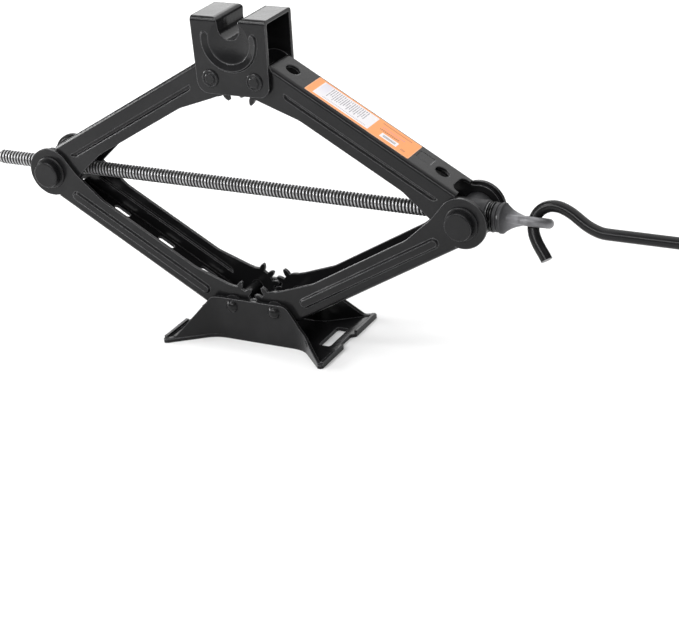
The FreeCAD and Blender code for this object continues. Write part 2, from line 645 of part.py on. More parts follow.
def crank_arm():
    """One bent bar: a spigot through the flat head, the arm, and the spindle inside the grip."""
    tight = 4.2
    wide = 10.0
    top = ROD_LEVEL + CRANK_RISE
    start = Vector(HEAD_X, 7.2, ROD_LEVEL)
    bend_in = Vector(HEAD_X, CRANK_Y + tight, ROD_LEVEL)
    bend_mid = Vector(HEAD_X, CRANK_Y + tight * (1 - math.sin(math.pi / 4)),
                      ROD_LEVEL + tight * (1 - math.cos(math.pi / 4)))
    bend_out = Vector(HEAD_X, CRANK_Y, ROD_LEVEL + tight)
    turn_in = Vector(HEAD_X, CRANK_Y, top - wide)
    turn_mid = Vector(HEAD_X + wide * (1 - math.cos(math.pi / 4)), CRANK_Y, top - wide * (1 - math.sin(math.pi / 4)))
    turn_out = Vector(HEAD_X + wide, CRANK_Y, top)
    end = Vector(GRIP_START + GRIP_LENGTH + 3.2, CRANK_Y, top)
    route = Part.Wire([Part.makeLine(start, bend_in), Part.Arc(bend_in, bend_mid, bend_out).toShape(),
                       Part.makeLine(bend_out, turn_in), Part.Arc(turn_in, turn_mid, turn_out).toShape(),
                       Part.makeLine(turn_out, end)])
    return swept_rod(route, CRANK_RADIUS)


def spigot_washer():
    """Washer riveted on the back end of the spigot, which keeps the arm in the head."""
    profile = [(4.3, CRANK_RADIUS), (4.3, 7.5), (5.6, 7.5), (5.9, 7.1), (5.9, 5.2), (7.2, 5.2), (8.2, 4.0),
               (8.2, 0), (7.2, 0), (7.2, CRANK_RADIUS)]
    return turned(profile, Vector(HEAD_X, 0, ROD_LEVEL), Y_AXIS)


def grip_sleeve():
    bore = CRANK_RADIUS + 0.35
    length = GRIP_LENGTH
    profile = [(0, bore), (0, GRIP_RADIUS - 1.5), (0.5, GRIP_RADIUS - 0.5), (1.5, GRIP_RADIUS),
               (length - 1.5, GRIP_RADIUS), (length - 0.5, GRIP_RADIUS - 0.5), (length, GRIP_RADIUS - 1.5),
               (length, bore)]
    return turned(profile, Vector(GRIP_START, CRANK_Y, ROD_LEVEL + CRANK_RISE), X_AXIS)


def grip_stops():
    """Collar before the grip and riveted washer behind it, both fast on the spindle."""
    axis_point = Vector(GRIP_START, CRANK_Y, ROD_LEVEL + CRANK_RISE)
    collar = turned([(-3.3, CRANK_RADIUS), (-3.3, 5.6), (-2.9, 6.0), (-0.7, 6.0), (-0.3, 5.6),
                     (-0.3, CRANK_RADIUS)], axis_point, X_AXIS)
    length = GRIP_LENGTH
    cap = turned([(length + 0.3, CRANK_RADIUS), (length + 0.3, 6.6), (length + 1.6, 6.6), (length + 2.0, 6.2),
                  (length + 2.0, 4.8), (length + 3.6, 4.8), (length + 4.6, 3.6), (length + 4.6, 0),
                  (length + 3.2, 0), (length + 3.2, CRANK_RADIUS)], axis_point, X_AXIS)
    return [collar, cap]


def on_screw_axis(shapes):
    """Lift screw and handle shapes to the trunnions' height, turned as they stand at rest."""
    out = []
    for shape in shapes:
        moved = shape.copy()
        moved.rotate(ORIGIN, X_AXIS, SPIN_AT_REST)
        moved.translate(Vector(0, 0, TRUNNION_Z))
        out.append(moved)
    return out


# ---- write every node -----------------------------------------------------------------------
def save(name, shapes):
    shape = shapes[0] if len(shapes) == 1 else Part.makeCompound(shapes)
    for solid in shape.Solids:
        if not solid.isValid() or solid.Volume <= 0:
            raise ValueError("bad solid in " + name)
    if len(shape.Solids) != max(1, len(shapes)):
        raise ValueError("%s has %d solids for %d shapes" % (name, len(shape.Solids), len(shapes)))
    shape.exportStep("parts/%s.step" % name)
    print("%-26s %2d solids %9.0f mm3" % (name, len(shape.Solids), shape.Volume))


def build():
    os.makedirs("parts", exist_ok=True)
    save("base_plate", [base_plate()])
    save("base_pins", rivet_pins(BASE_PIN_Z, WALL_HALF, 3.6, domed=True))
    save("base_pin_washers", washers(BASE_PIN_Z, LOWER_HALF + 0.3, WALL_HALF - PLATE, 8.5, PIN_RADIUS))
    save("lower_arm_right", [place_lower(lower_arm(0.0), 1)])
    save("lower_arm_left", [place_lower(lower_arm(0.5), -1)])
    save("upper_arm_right", [place_upper(upper_arm(0.5).cut(stamped_panel()), 1)])
    save("upper_arm_left", [place_upper(upper_arm(0.0), -1)])
    save("rating_label", [label_sheet()])
    save("saddle", [saddle()])
    save("saddle_pins", rivet_pins(SADDLE_PIN_Z, SADDLE_HALF, 2.3, domed=False))
    save("saddle_pin_washers", washers(SADDLE_PIN_Z, UPPER_HALF + 0.3, SADDLE_HALF - PLATE, 8.5, PIN_RADIUS))

    save("nut_trunnion", [trunnion(-TRUNNION_X, SCREW_RADIUS + NUT_CLEARANCE)])
    save("nut_trunnion_caps", trunnion_caps(-TRUNNION_X))
    save("nut_trunnion_washers", trunnion_washers(-TRUNNION_X))
    save("bearing_trunnion", [trunnion(TRUNNION_X, SHANK_RADIUS + PIN_RUNNING)])
    save("bearing_trunnion_caps", trunnion_caps(TRUNNION_X))
    save("bearing_trunnion_washers", trunnion_washers(TRUNNION_X))
    save("thrust_race_fixed", on_screw_axis([thrust_race(BEARING_FROM)]))
    save("thrust_balls", on_screw_axis(thrust_balls()))
    save("thrust_ball_cage", on_screw_axis([ball_cage()]))
    save("thrust_race_turning", on_screw_axis([thrust_race(BEARING_FROM + RACE + BALL)]))

    save("lead_screw", on_screw_axis([lead_screw()]))
    save("screw_eye", on_screw_axis([screw_eye()]))
    save("eye_lock_pin", on_screw_axis([lock_pin_shape()]))
    save("hook_rod", on_screw_axis([hook_rod()]))
    save("crank_arm", on_screw_axis([crank_arm()]))
    save("crank_spigot_washer", on_screw_axis([spigot_washer()]))
    save("grip_sleeve", on_screw_axis([grip_sleeve()]))
    save("grip_stops", on_screw_axis(grip_stops()))


build()
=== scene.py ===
import json
import math

import bmesh
import bpy
from mathutils import Matrix, Vector


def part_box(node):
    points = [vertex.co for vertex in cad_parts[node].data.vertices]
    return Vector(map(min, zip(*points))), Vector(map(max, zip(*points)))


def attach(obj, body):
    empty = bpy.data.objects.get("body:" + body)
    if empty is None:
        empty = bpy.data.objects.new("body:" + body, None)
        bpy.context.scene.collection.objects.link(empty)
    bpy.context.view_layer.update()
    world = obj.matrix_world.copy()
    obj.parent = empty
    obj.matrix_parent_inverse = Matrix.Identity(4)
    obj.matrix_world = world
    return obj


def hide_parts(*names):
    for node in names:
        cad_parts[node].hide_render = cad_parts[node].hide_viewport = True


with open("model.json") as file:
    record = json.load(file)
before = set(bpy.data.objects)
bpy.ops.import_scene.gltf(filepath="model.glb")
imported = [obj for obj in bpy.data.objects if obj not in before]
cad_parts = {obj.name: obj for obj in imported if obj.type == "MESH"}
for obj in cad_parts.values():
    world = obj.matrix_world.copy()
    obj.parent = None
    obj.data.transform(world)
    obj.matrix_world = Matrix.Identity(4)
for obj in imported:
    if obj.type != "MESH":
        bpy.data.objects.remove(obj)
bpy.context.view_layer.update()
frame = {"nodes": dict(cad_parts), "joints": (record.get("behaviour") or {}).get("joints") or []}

bl_info = {
    "name": "Scissor car jack",
    "version": (1, 0, 0),
    "blender": (4, 5, 0),
    "location": "View3D > Sidebar > Jack",
    "description": "Finishes the packed scissor jack: threaded screw, ribbed grip, paint, label and studio",
    "category": "Object",
}

# Metres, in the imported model's own frame: X along the screw, -Y the front, +Z up.
NODES = frame["nodes"]

# ---- fixed details --------------------------------------------------------------------------
THREAD_GAP = 0.004                         # plain bar between the thread's end and the bearing block
THREAD_CREST, THREAD_ROOT = 0.165, 0.335   # ends of the flank from the crest's middle, in pitches
RUNOUT_LENGTH, RUNOUT_FILL = 0.001, 0.002  # where the thread runs out into the shank
THREAD_MERGE, MESH_MERGE = 0.000004, 0.000002   # points nearer than this are one
SHANK_CHAMFER = 0.0008                     # on the screw's right end, inside the eye
RUBBED_REACH = 0.034                       # length of the eye that the hook has rubbed
GRIP_BEVEL, GRIP_EASE = 0.0015, 0.0005     # rounding of the grip's ends
GRIP_STEPS = (-0.0001, 0.0004, 0.0008, 0.0013)  # rings past the collar that carry the flutes' run-out
FLUTE_RUNOUT, FLUTE_SHARPNESS = 0.0012, 1.6     # length of the run-out, and power of the wave
SLEEVE_SKIN = 0.97                         # the flutes start beyond this share of the grip's radius
FACES_PER_RIB = 8
SMALLEST_RADIUS = 0.0001                   # keeps a division by a radius from reaching zero

FLOOR_HALF = 6.0                           # half the side of the square floor
OVERHEAD_SPREAD = math.radians(70.0)       # how wide the overhead light looks from below
OVERHEAD_FROM = (0.05, 0.26, 1.0)          # the way towards it, a little to the back
LAMPS = [                                  # name, place, width and height, watts
    ("key", (-0.95, -1.05, 1.85), (0.6, 0.6), 14.0),
    ("front", (-0.3, -1.8, 1.22), (2.3, 0.22), 26.0),
    ("left", (-2.0, -0.35, 0.62), (1.6, 0.35), 30.0),
    ("rim", (-1.05, 1.95, 1.25), (1.1, 1.1), 11.0),
    ("back", (0.35, 2.1, 1.45), (1.8, 0.9), 9.0),
]

# ---- places read from the frame -----------------------------------------------------------
SCREW_LOW, SCREW_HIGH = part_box("lead_screw")
BLOCK_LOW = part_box("bearing_trunnion")[0]
GRIP_LOW, GRIP_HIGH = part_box("grip_sleeve")
LABEL_LOW, LABEL_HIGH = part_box("rating_label")
EYE_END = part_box("screw_eye")[1].x
PINS = {joint["name"]: Vector(joint["pos_m"]) for joint in frame["joints"]}
SCREW_AXIS_Z = (SCREW_LOW.z + SCREW_HIGH.z) / 2
SCREW_AXIS = (0.0, 0.0, SCREW_AXIS_Z)
SCREW_RADIUS = (SCREW_HIGH.y - SCREW_LOW.y) / 2
THREAD_END = BLOCK_LOW.x - THREAD_GAP
GRIP_CENTRE = (GRIP_LOW + GRIP_HIGH) / 2
GRIP_RADIUS = (GRIP_HIGH.y - GRIP_LOW.y) / 2
LABEL_CENTRE = (LABEL_LOW + LABEL_HIGH) / 2
LABEL_LENGTH = math.hypot(LABEL_HIGH.x - LABEL_LOW.x, LABEL_HIGH.z - LABEL_LOW.z)
LABEL_WIDTH = LABEL_HIGH.y - LABEL_LOW.y
ARM_RUN = PINS["right_trunnion_level"] - PINS["lift_fold"]
ARM_SLOPE = math.atan2(ARM_RUN.z, ARM_RUN.x)
SHANK_RADIUS = max(math.hypot(v.co.y, v.co.z - SCREW_AXIS_Z) for v in NODES["lead_screw"].data.vertices
                   if v.co.x >= BLOCK_LOW.x)


# ---- settings a user would change ----------------------------------------------------------
def length(name, description, default):
    """A setting in metres."""
    return bpy.props.FloatProperty(name=name, description=description, default=default,
                                   unit="LENGTH", precision=5)


def colour(name, description, default):
    """A setting in linear red, green and blue."""
    return bpy.props.FloatVectorProperty(name=name, description=description, default=default,
                                         subtype="COLOR", size=3, min=0.0, max=1.0)


class JackSizes(bpy.types.PropertyGroup):
    """Sizes of the thread and of the grip's ribs."""
    thread_pitch: length("Thread pitch", "Advance of the screw thread in one turn", 0.003)
    thread_depth: length("Thread depth", "Crest to root of the screw thread", 0.00135)
    thread_segments: bpy.props.IntProperty(name="Thread segments", default=36, min=12, max=64,
                                           description="Faces in one turn of the thread")
    tip_chamfer: length("Tip chamfer", "Bevel on the free end of the screw", 0.0015)
    grip_ribs: bpy.props.IntProperty(name="Grip ribs", description="Ribs round the grip sleeve",
                                     default=20, min=6, max=60)
    grip_rib_depth: length("Grip rib depth", "Depth of the flutes between the grip's ribs", 0.0011)
    grip_collar: length("Grip collar", "Plain collar at each end of the grip", 0.0035)


class JackColours(bpy.types.PropertyGroup):
    """Colours of the finishes."""
    paint: colour("Paint", "Gloss black paint on the pressings and the handle", (0.0075, 0.0075, 0.0080))
    # The edge colour is a painted highlight along every sharp edge, and, made lighter, worn paint on chipped
    # edges.
    edge_highlight_and_wear: colour("Paint edge", "Worn paint along sharp edges", (0.15, 0.15, 0.155))
    screw: colour("Screw steel", "Oiled steel of the thread", (0.42, 0.42, 0.43))
    # Near-black colour of the thread's roots: painted shade in the recess, partly grease.
    root_grease_and_shade: colour("Thread groove", "Darkened grease in the bottom of the thread", (0.012, 0.011, 0.010))
    forged: colour("Forged steel", "Phosphated forgings", (0.040, 0.040, 0.042))
    rubbed: colour("Rubbed steel", "Forged steel where the hook rubs it", (0.23, 0.23, 0.24))
    bright: colour("Bright steel", "Ground races and balls", (0.55, 0.55, 0.56))
    label: colour("Label", "Printed ground of the rating label", (0.86, 0.30, 0.075))
    label_panel: colour("Label panel", "Pale text panel of the label", (0.80, 0.78, 0.80))
    label_ink: colour("Label ink", "Ink of the label's plain bars", (0.18, 0.17, 0.20))
    grip: colour("Grip", "Moulded plastic of the grip", (0.012, 0.012, 0.012))
    floor: colour("Floor", "Plain studio floor", (0.93, 0.93, 0.93))


class JackStage(bpy.types.PropertyGroup):
    """Camera and light."""
    azimuth: bpy.props.FloatProperty(name="Azimuth", default=math.radians(29.02), subtype="ANGLE",
                                     description="Camera's turn round the jack from the front")
    elevation: bpy.props.FloatProperty(name="Elevation", description="Camera's height above the horizon",
                                       default=math.radians(25.43), subtype="ANGLE")
    roll: bpy.props.FloatProperty(name="Roll", description="Camera's turn about its own line of sight",
                                  default=math.radians(-4.58), subtype="ANGLE")
    distance: length("Distance", "Camera to the point that it looks at", 1.5004)
    focal: bpy.props.FloatProperty(name="Focal length", description="Lens on a 36 mm sensor", default=98.6,
                                   min=10.0, max=300.0)
    target_x: length("Target along X", "Where the camera looks, along the screw", 0.06568)
    target_z: length("Target height", "Where the camera looks, above the ground", 0.02271)
    overhead: bpy.props.FloatProperty(name="Overhead light", default=1.8, min=0.0, max=10.0,
                                      description="Strength of the broad light from above")
    surround: bpy.props.FloatProperty(name="Surround light", default=0.22, min=0.0, max=5.0,
                                      description="Brightness of the pale surround")


# ---- shader building ---------------------------------------------------------------------
class Link:
    """A node's output, with arithmetic that adds Math nodes."""

    def __init__(self, shader, output):
        self.shader = shader
        self.output = output

    def maths(self, operation, *values):
        return self.shader.node("ShaderNodeMath", {"operation": operation}, dict(enumerate(values)))

    def __add__(self, other):
        return self.maths("ADD", self, other)

    def __sub__(self, other):
        return self.maths("SUBTRACT", self, other)

    def __rsub__(self, other):
        return self.maths("SUBTRACT", other, self)

    def __mul__(self, other):
        return self.maths("MULTIPLY", self, other)

    def __truediv__(self, other):
        return self.maths("DIVIDE", self, other)

    def __pow__(self, other):
        return self.maths("POWER", self, other)

    __radd__ = __add__
    __rmul__ = __mul__

    def over(self, other):
        """The larger of the two."""
        return self.maths("MAXIMUM", self, other)

    def above(self, level):
        """1 where the value is above the level, and 0 elsewhere."""
        return self.maths("GREATER_THAN", self, level)

    def below(self, level):
        """1 where the value is below the level, and 0 elsewhere."""
        return self.maths("LESS_THAN", self, level)

    def between(self, low, high):
        """1 between the two levels, and 0 elsewhere."""
        return self.above(low) * self.below(high)

    def away(self):
        """Distance from 0."""
        return self.maths("ABSOLUTE", self)

    def whole(self):
        """The whole number at or below the value."""
        return self.maths("FLOOR", self)

    def part(self):
        """What is left of the value above its whole number."""
        return self.maths("FRACT", self)


class Shader:
    """A material under construction."""

    def __init__(self, name):
        self.material = bpy.data.materials.new(name)
        self.material.use_nodes = True
        self.tree = self.material.node_tree
        self.tree.nodes.clear()
        self.here = self.node("ShaderNodeTexCoord", output="Object")

    def node(self, kind, settings=None, values=None, output=0):
        """Adds a node: its settings first, then the values or links of its sockets."""
        made = self.tree.nodes.new(kind)
        for key, value in (settings or {}).items():
            setattr(made, key, value)
        for key, value in (values or {}).items():
            if isinstance(value, Link):
                self.tree.links.new(value.output, made.inputs[key])
            else:
                made.inputs[key].default_value = value
        return Link(self, made.outputs[output])

    def ramp(self, value, low, high):
        """0 below low, 1 above high and a soft step between; the other way round if low is the larger."""
        return self.node("ShaderNodeMapRange", {"interpolation_type": "SMOOTHSTEP"},
                         {"Value": value, "From Min": low, "From Max": high})

    def mix(self, factor, first, second):
        """A colour between two colours."""
        def rgba(shade):
            return shade if isinstance(shade, Link) else (*shade[:3], 1.0)
        return self.node("ShaderNodeMix", {"data_type": "RGBA", "clamp_factor": True},
                         {0: factor, 6: rgba(first), 7: rgba(second)}, output=2)

    def noise(self, scale, detail=3.0, rough=0.5, where=None):
        """Cloudy noise over object coordinates, or over a placed copy of them."""
        return self.node("ShaderNodeTexNoise", None, {"Vector": where or self.here, "Scale": scale,
                                                      "Detail": detail, "Roughness": rough})

    def place(self, location=(0, 0, 0), rotation=(0, 0, 0), scale=(1, 1, 1), kind="TEXTURE"):
        """Object coordinates centred on a place and turned, or stretched."""
        return self.node("ShaderNodeMapping", {"vector_type": kind},
                         {"Vector": self.here, "Location": location, "Rotation": rotation, "Scale": scale})

    def parts(self, vector):
        """X, Y and Z of a vector."""
        split = self.node("ShaderNodeSeparateXYZ", None, {0: vector})
        outputs = split.output.node.outputs
        return [Link(self, outputs[i]) for i in range(3)]

    def radius(self, centre):
        """Distance from an axis along X through a place."""
        _, y, z = self.parts(self.place(centre))
        return (y * y + z * z) ** 0.5

    def bump(self, height, strength, distance, normal=None):
        """A normal tilted by a height, over the true normal or another one."""
        values = {"Strength": strength, "Distance": distance, "Height": height}
        if normal is not None:
            values["Normal"] = normal
        return self.node("ShaderNodeBump", None, values)

    def edges(self, radius):
        """A normal rounded over sharp edges, and how far it has turned: 0 on flats, 1 on an edge."""
        rounded = self.node("ShaderNodeBevel", {"samples": 6}, {"Radius": radius})
        true = self.node("ShaderNodeNewGeometry", output="Normal")
        facing = self.node("ShaderNodeVectorMath", {"operation": "DOT_PRODUCT"},
                           {0: rounded, 1: true}, output="Value")
        return rounded, self.ramp(1.0 - facing, 0.004, 0.10)

    def finish(self, **sockets):
        """The material, with its Principled sockets set or linked by name."""
        values = {key.replace("_", " "): value for key, value in sockets.items()}
        shown = self.node("ShaderNodeBsdfPrincipled", None, values)
        output = self.tree.nodes.new("ShaderNodeOutputMaterial")
        self.tree.links.new(shown.output, output.inputs["Surface"])
        return self.material


# ---- finishes ----------------------------------------------------------------------------
# Noise scales are in cycles to the metre, and bump distances and edge radii in metres.
def lit(shade, factor):
    """A colour made lighter or darker."""
    return [min(1.0, c * factor) for c in shade]


def black_paint(name, colours, ripple=0.35, wear=0.5, roughness=0.24, edge=0.00045):
    """Satin-gloss black paint over pressed or drawn steel, with a painted highlight along every sharp edge
    and worn paint where the edges are chipped.
    """
    shader = Shader(name)
    rounded, on_edge = shader.edges(edge)
    cloud = shader.noise(28.0, 4.0, 0.55)
    speck = shader.noise(900.0, 2.0)
    chips = shader.ramp(shader.noise(420.0, 5.0, 0.65), 0.56, 0.66)
    worn = on_edge * chips * wear
    dust = shader.ramp(cloud, 0.42, 0.70) * 0.5
    painted = shader.mix(dust, colours.paint, lit(colours.paint, 1.9))
    # Every sharp edge is lightened towards the edge colour: a painted highlight; only the chipped edges below
    # are worn paint.
    edge_highlighted = shader.mix(on_edge * 0.50, painted, colours.edge_highlight_and_wear)
    peel = shader.noise(330.0, 2.0, 0.4)
    press = shader.noise(38.0, 1.0, 0.3)
    skin = shader.bump(peel, ripple * 0.28, 0.0006, rounded)
    surface = shader.bump(press, ripple * 0.20, 0.004, skin)
    return shader.finish(
        Base_Color=shader.mix(worn, edge_highlighted, lit(colours.edge_highlight_and_wear, 1.6)),
        Roughness=roughness + dust * 0.10 + speck * 0.05 + worn * 0.12 - 0.02,
        Normal=surface,
        IOR=1.5,
        Specular_IOR_Level=0.20,
    )


def screw_steel(colours, sizes):
    """Oiled rolled steel: bright crests, roots darkened by painted shade and some grease, and fine turning
    marks.
    """
    shader = Shader("screw_steel")
    depth = sizes.thread_depth
    crest = shader.ramp(shader.radius(SCREW_AXIS), SCREW_RADIUS - depth + depth * 0.58,
                        SCREW_RADIUS - depth * 0.06)
    smear = shader.noise(130.0, 4.0, 0.6)
    rings = shader.noise(1.0, 2.0, 0.5, shader.place(scale=(2600.0, 60.0, 60.0), kind="POINT"))
    grime = shader.ramp(smear, 0.60, 0.42) * 0.35
    flat = shader.mix(grime, colours.screw, lit(colours.screw, 0.45))
    # The thread's roots take the near-black root colour: painted shade in the recess, with some grease.
    return shader.finish(
        Base_Color=shader.mix(crest, colours.root_grease_and_shade, flat),
        Metallic=crest * 0.95,
        Roughness=0.58 - crest * 0.30 + smear * 0.10,
        Normal=shader.bump(rings, 0.10, 0.00012),
    )


def forged_steel(name, colours, lift=1.0, rubbed_from=None):
    """Forged steel with a matte phosphate finish, pitted, and rubbed on its edges and past a station."""
    shader = Shader(name)
    rounded, on_edge = shader.edges(0.0007)
    scale = shader.noise(160.0, 5.0, 0.6)
    patch = shader.noise(45.0, 3.0, 0.5)
    pits = shader.ramp(shader.noise(700.0, 3.0, 0.5), 0.30, 0.44)
    base = lit(colours.forged, lift)
    tone = shader.mix(shader.ramp(patch, 0.35, 0.68), lit(base, 0.72), lit(base, 1.35))
    grain = shader.bump(scale, 0.30, 0.0005, rounded)
    rubbed = 0.0
    if rubbed_from is not None:
        along = shader.parts(shader.here)[0]
        rubbed = shader.ramp(along + patch * 0.006, rubbed_from, rubbed_from + 0.012)
        rubbed = rubbed * shader.ramp(patch, 0.2, 0.6)
        tone = shader.mix(rubbed * 0.8, tone, colours.rubbed)
    edge_rub = on_edge * shader.ramp(scale, 0.35, 0.6) * 0.55
    return shader.finish(
        Base_Color=shader.mix(edge_rub, tone, lit(base, 3.2)),
        Metallic=0.65,
        Roughness=0.50 - on_edge * 0.10 + scale * 0.14 - rubbed * 0.12,
        Normal=shader.bump(pits, 0.22, 0.0002, grain),
    )


def bright_steel(name, colours, centre, painted_brightness=1.0):
    """Ground steel with fine rings about the screw's axis and a film of oil; its colour is scaled by a
    brightness level, and the low levels are painted shade.
    """
    shader = Shader(name)
    # The steel's colour scaled by the brightness level: the low levels are painted shade.
    ground = lit(colours.bright, painted_brightness)
    rings = shader.node("ShaderNodeTexNoise", {"noise_dimensions": "1D"},
                        {"W": shader.radius(centre), "Scale": 9000.0, "Detail": 2.0})
    film = shader.noise(260.0, 3.0, 0.6)
    rounded, on_edge = shader.edges(0.0003)
    clean = shader.ramp(film, 0.40, 0.66) * (0.4 + on_edge * 0.6)
    return shader.finish(
        Base_Color=shader.mix(clean, lit(ground, 0.12), ground),
        Metallic=1.0,
        Roughness=0.26 + film * 0.16 + on_edge * 0.05,
        Normal=shader.bump(rings, 0.08, 0.00006, rounded),
    )


def label_film(colours):
    """Printed film: an orange ground, a pale panel with plain bars for lines of text, and a pale block."""
    shader = Shader("label_film")
    along, across, _ = shader.parts(shader.place(LABEL_CENTRE, (0.0, ARM_SLOPE, 0.0)))
    u = along / LABEL_LENGTH + 0.5          # 0 to 1 along the label
    v = across / LABEL_WIDTH + 0.5          # 0 to 1 across it

    def area(u_from, u_to, v_from, v_to):
        """1 inside a rectangle of the label, and 0 elsewhere."""
        return u.between(u_from, u_to) * v.between(v_from, v_to)

    def dashes(u_from, u_to, v_from, v_to, rate, share):
        """A row of dashes, so many to the label's length, each filling its share of its room."""
        return area(u_from, u_to, v_from, v_to) * (u * rate).part().below(share)

    # Rows of text across the panel: each is a bar of its own length, broken into words.
    rows, first_row, last_row = 19, 0.16, 0.52
    shortest, longest = 0.42, 0.60
    place = (u - first_row) * (rows / (last_row - first_row))
    jitter = shader.node("ShaderNodeTexWhiteNoise", {"noise_dimensions": "1D"}, {"W": place.whole() + 3.0})
    size = jitter * (longest - shortest) + shortest
    run = 0.88 - v
    words = shader.noise(1.0, 2.0, 0.6, shader.place(scale=(560.0, 900.0, 560.0), kind="POINT")).above(0.42)
    text = place.between(0.0, float(rows)) * place.part().below(0.42) * run.above(0.0)
    text = text * (size - run).above(0.0) * words
    ticks = dashes(0.15, 0.56, 0.17, 0.22, 74.0, 0.45)
    wash = shader.ramp(v, 0.10, 0.75) * u.between(0.075, 0.15) * 0.35
    caption = dashes(0.72, 0.84, 0.23, 0.33, 95.0, 0.6)
    dark_lines = (dashes(0.64, 0.92, 0.82, 0.88, 90.0, 0.62) + dashes(0.66, 0.84, 0.47, 0.56, 58.0, 0.66)
                  + dashes(0.90, 0.94, 0.16, 0.26, 120.0, 0.6))
    red_line = dashes(0.66, 0.88, 0.62, 0.71, 66.0, 0.70)

    panel = area(0.065, 0.595, 0.10, 0.93)
    shade = shader.mix(shader.noise(60.0, 3.0), colours.label, lit(colours.label, 1.16))
    shade = shader.mix(panel, shade, colours.label_panel)
    shade = shader.mix(panel * wash, shade, (0.52, 0.48, 0.66))
    shade = shader.mix(panel * (text + ticks * 0.8) * 0.85, shade, colours.label_ink)
    shade = shader.mix(area(0.70, 0.86, 0.16, 0.40), shade, colours.label_panel)
    shade = shader.mix(caption, shade, colours.label_ink)
    shade = shader.mix(dark_lines * 0.75, shade, (0.30, 0.07, 0.03))
    shade = shader.mix(red_line * 0.8, shade, (0.72, 0.24, 0.20))
    edge = shader.ramp((u - 0.5).away(), 0.492, 0.5).over(shader.ramp((v - 0.5).away(), 0.475, 0.5))
    return shader.finish(
        Base_Color=shader.mix(edge * 0.35, shade, (0.95, 0.82, 0.70)),
        Roughness=0.34 + shader.noise(240.0, 4.0, 0.6) * 0.12,
        Normal=shader.bump(shader.noise(90.0, 2.0), 0.10, 0.0008),
        Specular_IOR_Level=0.5,
    )


def grip_plastic(colours):
    """Moulded black plastic with a fine spark texture, polished a little on the ribs."""
    shader = Shader("grip_plastic")
    rib = shader.ramp(shader.radius(GRIP_CENTRE), GRIP_RADIUS - 0.0008, GRIP_RADIUS)
    spark = shader.noise(1500.0, 3.0, 0.6)
    cloud = shader.noise(70.0, 3.0)
    return shader.finish(
        Base_Color=shader.mix(cloud, colours.grip, lit(colours.grip, 1.8)),
        Roughness=0.52 - rib * 0.12 + cloud * 0.08,
        Normal=shader.bump(spark, 0.25, 0.00015),
    )


def studio_floor(colours):
    """Pale matte floor with the faintest mottling."""
    shader = Shader("studio_floor")
    mottle = shader.noise(2.0, 3.0)
    return shader.finish(
        Base_Color=shader.mix(mottle, colours.floor, lit(colours.floor, 0.985)),
        Roughness=0.85,
        Specular_IOR_Level=0.2,
    )


def dress(nodes, material):
    """Gives CAD nodes their finish in every material slot."""
    for name in nodes:
        node = NODES[name]
        for entry in node.material_slots:
            entry.material = material


# ---- geometry nodes ------------------------------------------------------------------------
class Tree:
    """A Geometry Nodes tree under construction, with named inputs."""

    def __init__(self, name, inputs):
        self.group = bpy.data.node_groups.new(name, "GeometryNodeTree")
        self.group.is_modifier = True
        self.group.interface.new_socket("Geometry", in_out="INPUT", socket_type="NodeSocketGeometry")
        self.group.interface.new_socket("Geometry", in_out="OUTPUT", socket_type="NodeSocketGeometry")
        for title, (kind, value) in inputs.items():
            socket = self.group.interface.new_socket(title, in_out="INPUT", socket_type=kind)
            if value is not None:
                socket.default_value = value
        self.entry = self.group.nodes.new("NodeGroupInput")
        self.exit = self.group.nodes.new("NodeGroupOutput")

    def given(self, title):
        """One of the tree's inputs."""
        return self.entry.outputs[title]

    def node(self, kind, settings=None, values=None, output=0):
        """Adds a node: its settings first, then the values or links of its sockets."""
        made = self.group.nodes.new(kind)
        for key, value in (settings or {}).items():
            setattr(made, key, value)
        for key, value in (values or {}).items():
            if isinstance(value, bpy.types.NodeSocket):
                self.group.links.new(value, made.inputs[key])
            elif isinstance(value, list):
                for each in value:
                    self.group.links.new(each, made.inputs[key])
            else:
                made.inputs[key].default_value = value
        return made.outputs[output]

    def maths(self, operation, *values):
        return self.node("ShaderNodeMath", {"operation": operation}, dict(enumerate(values)))

    def ramp(self, value, low, high, soft=True, to_low=0.0, to_high=1.0):
        """One value below low, another above high, and a soft or straight step between."""
        settings = {"interpolation_type": "SMOOTHSTEP"} if soft else None
        return self.node("ShaderNodeMapRange", settings, {"Value": value, "From Min": low, "From Max": high,
                                                          "To Min": to_low, "To Max": to_high})

    def finish(self, geometry):
        """The tree, with what it makes turned real and given its material."""
        smooth = self.node("GeometryNodeSetShadeSmooth", None, {"Geometry": geometry})
        real = self.node("GeometryNodeRealizeInstances", None, {"Geometry": smooth})
        painted = self.node("GeometryNodeSetMaterial", None,
                            {"Geometry": real, "Material": self.given("Material")})
        self.group.links.new(painted, self.exit.inputs["Geometry"])
        return self.group


